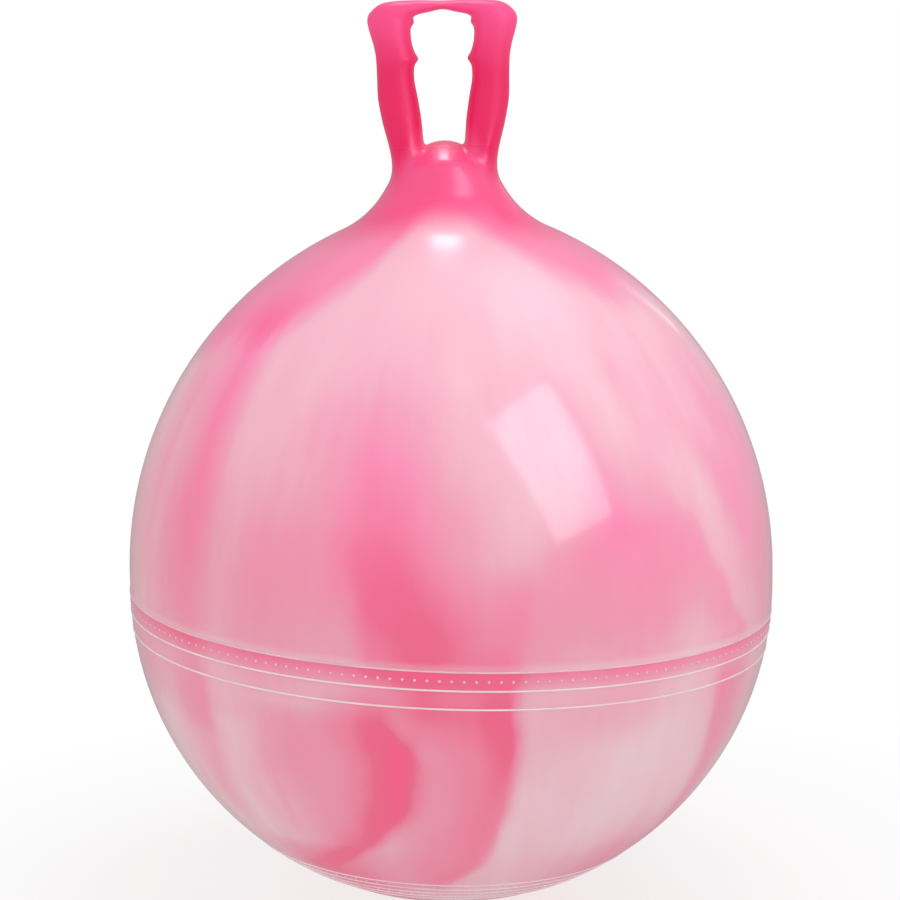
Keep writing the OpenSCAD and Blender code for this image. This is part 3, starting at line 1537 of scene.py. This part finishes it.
    def build(self, material: bpy.types.Material) -> bpy.types.Object:
        """Build the moulding and let it stand for its three nodes.

        Args:
            material: Its finish.

        Returns:
            The piece.
        """
        skin = self._neck_and_handle()
        self._soften(skin)
        self._settle_dome(skin)
        self._cut(skin)
        wall = bmesh.new()
        self._ball(wall)
        mesh = bpy.data.meshes.new("ball_wall")
        wall.to_mesh(mesh)
        wall.free()
        skin.from_mesh(mesh)
        bpy.data.meshes.remove(mesh)
        bmesh.ops.bridge_loops(skin, edges=[edge for edge in skin.edges if edge.is_boundary])
        bmesh.ops.recalc_face_normals(skin, faces=skin.faces)
        piece = publish(skin, "moulding", material, Body.BALL, self.form.centre_z)
        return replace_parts(piece, "ball_skin", "neck", "handle")


@dataclass(frozen=True)
class MouldedLines:
    """Ribs and rows of pips that stand on the ball, all in planes tilted a little against the handle."""

    form: BallForm
    tilt_deg: float = 2.7
    rib_w: float = 1.4
    rib_h: float = 0.5
    band_drop: float = 9.3
    band_pitch: float = 12.4
    band_ribs: int = 3
    base_ring_r: float = 135.4
    base_pitch: float = 9.4
    base_rings: int = 5
    rib_sides: int = 10
    turn_steps: int = 180
    pip_r: float = 1.05
    pip_h: float = 0.4
    pip_step_deg: float = 2.0
    pip_sides: int = 8
    pip_rings: int = 4

    def _tilted(self, bm: BMesh) -> None:
        """Tilt a finished mesh about the ball's centre."""
        turn = Matrix.Rotation(math.radians(self.tilt_deg), 3, "Y")
        bmesh.ops.rotate(bm, cent=(0, 0, 0), matrix=turn, verts=bm.verts)

    def band_polars(self) -> list[float]:
        """Give the polar angles of the band's ribs, from the bottom pole."""
        drops = [self.band_drop + i * self.band_pitch for i in range(self.band_ribs)]
        return [math.pi / 2.0 - math.asin(drop / self.form.ball_r) for drop in drops]

    def base_polars(self) -> list[float]:
        """Give the polar angles of the base rings, from the bottom pole."""
        first = math.asin(self.base_ring_r / self.form.ball_r)
        return [first - i * self.base_pitch / self.form.ball_r for i in range(self.base_rings)]

    def _ribs(self, name: str, polars: Sequence[float], material: bpy.types.Material) -> bpy.types.Object:
        """Build one group of ribs.

        Args:
            name: Name of the piece.
            polars: Polar angle of each rib.
            material: Its finish.

        Returns:
            The piece.
        """
        seat = self.form.ball_r + self.rib_h - self.rib_w / 2.0
        bm = bmesh.new()
        upright = Matrix.Rotation(math.pi / 2.0, 4, "X")
        for polar in polars:
            spot = Matrix.Translation((seat * math.sin(polar), 0.0, -seat * math.cos(polar)))
            bmesh.ops.create_circle(
                bm, segments=self.rib_sides, radius=self.rib_w / 2.0, matrix=spot @ upright
            )
        turn_profile(bm, bm.verts[:] + bm.edges[:], self.turn_steps)
        self._tilted(bm)
        return publish(bm, name, material, Body.BALL, self.form.centre_z)

    def _pip_rows(
        self, name: str, polars: Sequence[float], material: bpy.types.Material
    ) -> bpy.types.Object:
        """Build rows of pips.

        Args:
            name: Name of the piece.
            polars: Polar angle of each row.
            material: Its finish.

        Returns:
            The piece.
        """
        bm = bmesh.new()
        squat = Matrix.Diagonal((self.pip_r, self.pip_r, self.pip_h, 1.0))
        for polar in polars:
            count = round(360.0 / self.pip_step_deg * math.sin(polar))
            out = Matrix.Translation((0.0, 0.0, self.form.ball_r)) @ squat
            spot = Matrix.Rotation(math.pi - polar, 4, "Y") @ out
            made = bmesh.ops.create_uvsphere(
                bm, u_segments=self.pip_sides, v_segments=self.pip_rings, radius=1.0, matrix=spot
            )
            pip = made["verts"]
            parts = pip + list({part for vert in pip for part in (*vert.link_edges, *vert.link_faces)})
            bmesh.ops.spin(
                bm,
                geom=parts,
                cent=(0, 0, 0),
                axis=(0, 0, 1),
                angle=FULL_TURN * (count - 1) / count,
                steps=count - 1,
                use_duplicate=True,
            )
        self._tilted(bm)
        return publish(bm, name, material, Body.BALL, self.form.centre_z)

    def build(self, clear: bpy.types.Material, faint: bpy.types.Material) -> None:
        """Build the band, the base rings and their pips.

        Args:
            clear: Finish of the ribs that stand out.
            faint: Finish of the band's top rib and of the pips.
        """
        band, base = self.band_polars(), self.base_polars()
        self._ribs("top_rib", band[:1], faint)
        self._ribs("band_ribs", band[1:], clear)
        self._ribs("base_rings", base, clear)
        rows = [(band[0] + band[1]) / 2.0, (base[0] + base[1]) / 2.0, (base[2] + base[3]) / 2.0]
        self._pip_rows("pip_rows", rows, faint)


@dataclass(frozen=True)
class Valve:
    """Valve at the bottom pole: a soft seat in the skin's hole, and the plug that closes its bore."""

    wall: float = 1.0
    bore_r: float = 4.6
    bore_l: float = 13.0
    head_r: float = 10.0
    head_t: float = 2.4
    hub_r: float = 13.0
    flange_r: float = 24.0
    flange_t: float = 3.0
    hub_inset: float = 0.4
    head_sink: float = 0.5
    head_gap: float = 0.5
    fit_gap: float = 0.05
    flange_edge: float = 1.0
    hub_top_wall: float = 4.0
    stem_tail: float = 4.0
    tip_taper: float = 1.2
    land_count: int = 3
    groove_depth: float = 0.4
    groove_w: float = 2.0
    core_r: float = 2.4
    core_floor: float = 3.0
    dimple_r: float = 3.2
    dimple_depth: float = 0.6
    edge_round: float = 0.22
    edge_steps: int = 2
    sharp_deg: float = 35.0
    turn_steps: int = 72

    @property
    def recess_z(self) -> float:
        """Height of the recess's floor, which the plug's head lies on."""
        return self.hub_inset + self.head_sink + self.head_t

    @property
    def bore_top(self) -> float:
        """Height of the bore's inner end."""
        return self.recess_z + self.bore_l

    def _turned(self, points: Sequence[tuple[float, float]], closed: bool) -> BMesh:
        """Turn a profile and round its sharp edges.

        Args:
            points: Radius and height of each corner.
            closed: Whether the profile goes round to its first point.

        Returns:
            The mesh.
        """
        bm = bmesh.new()
        run = [Vector(point) for point in points]
        turn_profile(bm, draw_profile(bm, run + run[:1] if closed else run), self.turn_steps)
        sharp = [
            edge
            for edge in bm.edges
            if len(edge.link_faces) == 2 and math.degrees(edge.calc_face_angle()) > self.sharp_deg
        ]
        bmesh.ops.bevel(
            bm,
            geom=sharp,
            offset=self.edge_round,
            offset_type="OFFSET",
            segments=self.edge_steps,
            profile=0.5,
            material=-1,
            affect="EDGES",
            clamp_overlap=True,
        )
        return bm

    def seat(self, material: bpy.types.Material) -> bpy.types.Object:
        """Build the seat.

        Args:
            material: Its finish.

        Returns:
            The piece.
        """
        recess_r = self.head_r + self.head_gap
        bm = self._turned(
            (
                (self.bore_r, self.recess_z),
                (recess_r, self.recess_z),
                (recess_r, self.hub_inset),
                (self.hub_r, self.hub_inset),
                (self.hub_r, self.wall),
                (self.flange_r, self.wall),
                (self.flange_r, self.wall + self.flange_edge),
                (self.hub_r, self.wall + self.flange_t),
                (self.bore_r + self.hub_top_wall, self.bore_top),
                (self.bore_r, self.bore_top),
            ),
            True,
        )
        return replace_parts(publish(bm, "valve_collar", material, Body.BALL), "valve_seat")

    def plug(self, material: bpy.types.Material) -> bpy.types.Object:
        """Build the plug.

        Args:
            material: Its finish.

        Returns:
            The piece.
        """
        foot = self.hub_inset + self.head_sink
        stem_r = self.bore_r - self.fit_gap
        stem_top = self.bore_top + self.stem_tail
        pitch = self.bore_l / (self.land_count + 1)
        grooves = []
        for i in range(1, self.land_count + 1):
            low, high = self.recess_z + i * pitch, self.recess_z + i * pitch + self.groove_w
            floor_r = stem_r - self.groove_depth
            grooves += [(stem_r, low), (floor_r, low), (floor_r, high), (stem_r, high)]
        bm = self._turned(
            (
                (0.0, foot + self.dimple_depth),
                (self.dimple_r, foot),
                (self.head_r, foot),
                (self.head_r, self.recess_z),
                (stem_r, self.recess_z),
                *grooves,
                (stem_r, stem_top - self.tip_taper),
                (stem_r - self.tip_taper, stem_top),
                (self.core_r, stem_top),
                (self.core_r, self.recess_z + self.core_floor),
                (0.0, self.recess_z + self.core_floor),
            ),
            False,
        )
        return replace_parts(publish(bm, "pull_plug", material, Body.PLUG), "valve_plug")


@dataclass(frozen=True)
class Softbox:
    """One studio lamp, in metres."""

    name: str
    spot: tuple[float, float, float]
    aim: tuple[float, float, float]
    size: tuple[float, float]
    roll_deg: float = 0.0

    def _placed(self) -> Matrix:
        """Turn the lamp towards its aim.

        Returns:
            The lamp's place.
        """
        spot = Vector(self.spot)
        facing = (Vector(self.aim) - spot).to_track_quat("-Z", "Y").to_matrix().to_4x4()
        return Matrix.Translation(spot) @ facing @ Matrix.Rotation(math.radians(self.roll_deg), 4, "Z")

    def lamp(self, watts: float) -> bpy.types.Object:
        """Hang a lamp of this size.

        Args:
            watts: Its power.

        Returns:
            The lamp.
        """
        data = bpy.data.lights.new(self.name, "AREA")
        data.shape = "RECTANGLE"
        data.size, data.size_y = self.size
        data.energy = watts
        lamp = bpy.data.objects.new(self.name, data)
        lamp.matrix_world = self._placed()
        lamp.visible_glossy = False
        bpy.context.scene.collection.objects.link(lamp)
        return lamp

    def card(self, strength: float, soft: float = 0.02) -> bpy.types.Object:
        """Hang a glowing card of this size that only gloss sees.

        Args:
            strength: How bright it is.
            soft: Share of its width over which each edge fades.

        Returns:
            The card.
        """
        bm = bmesh.new()
        bm.loops.layers.uv.new()
        wide, high = self.size
        flat = Matrix.Diagonal((wide / 2.0, high / 2.0, 1.0, 1.0))
        place = self._placed() @ flat
        bmesh.ops.create_grid(bm, x_segments=1, y_segments=1, size=1.0, matrix=place, calc_uvs=True)
        board = Board.for_material(self.name)
        across, along, _ = board.axes(board.node("ShaderNodeTexCoord", output="UV"))
        glow = strength
        for side in (across, along):
            glow = side.ease(0.0, soft) * (1.0 - side.ease(1.0 - soft, 1.0)) * glow
        shader = board.node("ShaderNodeEmission", None, {"Color": WHITE, "Strength": glow})
        card = place_mesh(bm, self.name, board.output(shader))
        card.visible_camera = False
        card.visible_diffuse = False
        card.visible_shadow = False
        card.visible_transmission = False
        return card


@dataclass(frozen=True)
class Studio:
    """Camera, lamps, floor and white surroundings."""

    centre_z: float
    frame_px: float = 900.0
    focal_px: float = 2834.0
    ball_px: tuple[float, float] = (451.3, 578.8)
    distance: float = 2.0
    elevation_deg: float = 12.77
    lean_deg: float = 0.93
    clip_end: float = 100.0
    floor_r: float = 6.0
    floor_sides: int = 64
    world_light: float = 0.8
    gloss_level: float = 0.36
    sensor_mm: float = 36.0

    def camera(self) -> bpy.types.Object:
        """Set the camera at the photograph's angle.

        Returns:
            The camera.
        """
        data = bpy.data.cameras.new("camera")
        data.sensor_width = self.sensor_mm
        data.lens = self.sensor_mm * self.focal_px / self.frame_px
        data.clip_end = self.clip_end
        camera = bpy.data.objects.new("camera", data)
        half = self.frame_px / 2.0
        right, down = self.ball_px[0] - half, self.ball_px[1] - half
        facing = Matrix.Rotation(math.radians(90.0 - self.elevation_deg), 4, "X")
        back = facing @ Vector((0.0, 0.0, self.distance))
        aim = (
            Matrix.Rotation(math.radians(-self.lean_deg), 4, "Z")
            @ Matrix.Rotation(math.atan(down / self.focal_px), 4, "X")
            @ Matrix.Rotation(math.atan(right / self.focal_px), 4, "Y")
        )
        camera.matrix_world = Matrix.Translation(Vector((0.0, 0.0, self.centre_z)) + back) @ facing @ aim
        scene = bpy.context.scene
        scene.collection.objects.link(camera)
        scene.camera = camera
        return camera

    def lamps(self) -> None:
        """Hang the lamps."""
        z = self.centre_z
        middle = (0.0, 0.0, z)
        key = Vector((0.783, -0.876, 0.762 + z))
        key_aim = tuple(key + Vector((-0.44, 0.56, -0.70)))
        key_box = (0.615, 1.015)
        Softbox("key_softbox", tuple(key), key_aim, key_box, 14.5).lamp(2.5)
        Softbox("key_glow", tuple(key), key_aim, key_box, 14.5).card(3.8)
        Softbox("fill_softbox", (-1.35, -0.65, 0.85 + z), middle, (1.4, 1.6)).lamp(3.3)
        Softbox("top_softbox", (0.4, 0.25, 1.5 + z), (0.05, 0.0, z), (1.0, 0.9)).lamp(5.4)
        Softbox("top_glow", (0.62, 0.25, 1.5 + z), (0.1, 0.0, z), (1.3, 1.2)).card(1.1, 0.45)
        neck = (0.0, -0.07, 0.25 + z)
        Softbox("back_glow", (-0.02, 0.625, 1.385 + z), neck, (0.42, 0.46)).card(15.0, 0.45)
        Softbox("rim_glow", (0.75, 1.25, 0.62 + z), (0.0, 0.0, 0.2 + z), (0.10, 0.4)).card(1.2)

    def floor(self) -> None:
        """Lay the floor."""
        bm = bmesh.new()
        bmesh.ops.create_circle(bm, cap_ends=True, segments=self.floor_sides, radius=self.floor_r)
        floor = place_mesh(bm, "floor", FloorPaint(self.gloss_level).material("floor_paint"))

    def surroundings(self) -> None:
        """Light the white surroundings."""
        board = Board(bpy.data.worlds.new("white_surroundings"))
        shares = {Ray.CAMERA: 1.0, Ray.TRANSMISSION: 1.0, Ray.GLOSSY: self.gloss_level}
        level = self.world_light
        for mark, share in zip(board.rays(*shares), shares.values()):
            levels = {"Value": mark, "To Min": level, "To Max": share}
            level = board.node("ShaderNodeMapRange", None, levels)
        shader = board.node("ShaderNodeBackground", None, {"Color": WHITE, "Strength": level})
        bpy.context.scene.world = board.output(shader)

    def build(self) -> None:
        """Build the whole studio."""
        self.camera()
        self.lamps()
        self.floor()
        self.surroundings()
        bpy.context.scene.view_settings.view_transform = "Standard"


def main() -> None:
    """Build the object's pieces and the studio around the frame."""
    logging.basicConfig(level=logging.INFO)
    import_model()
    form = BallForm()
    lines = MouldedLines(form)
    centre_z = form.centre_z * MM
    Studio(centre_z).build()
    strip = (-lines.band_drop - lines.band_pitch, -lines.band_drop)
    marbled = MarbledVinyl(centre_z, lines.tilt_deg, strip).material("marbled_vinyl")
    Moulding(form, LoopHandle(form)).build(marbled)
    pale = MouldedVinyl(tone(244, 226, 229), tone(236, 208, 214), 0.25)
    faint = MouldedVinyl(tone(240, 200, 208), tone(232, 180, 192), 0.28)
    lines.build(pale.material("pale_vinyl"), faint.material("faint_vinyl"))
    valve = Valve()
    soft = MouldedVinyl(tone(246, 214, 222), tone(236, 196, 206), 0.42)
    valve.seat(soft.material("seat_vinyl"))
    hard = MouldedVinyl(tone(240, 240, 236), tone(226, 227, 224), 0.36)
    valve.plug(hard.material("plug_plastic"))


if __name__ == "__main__":
    main()
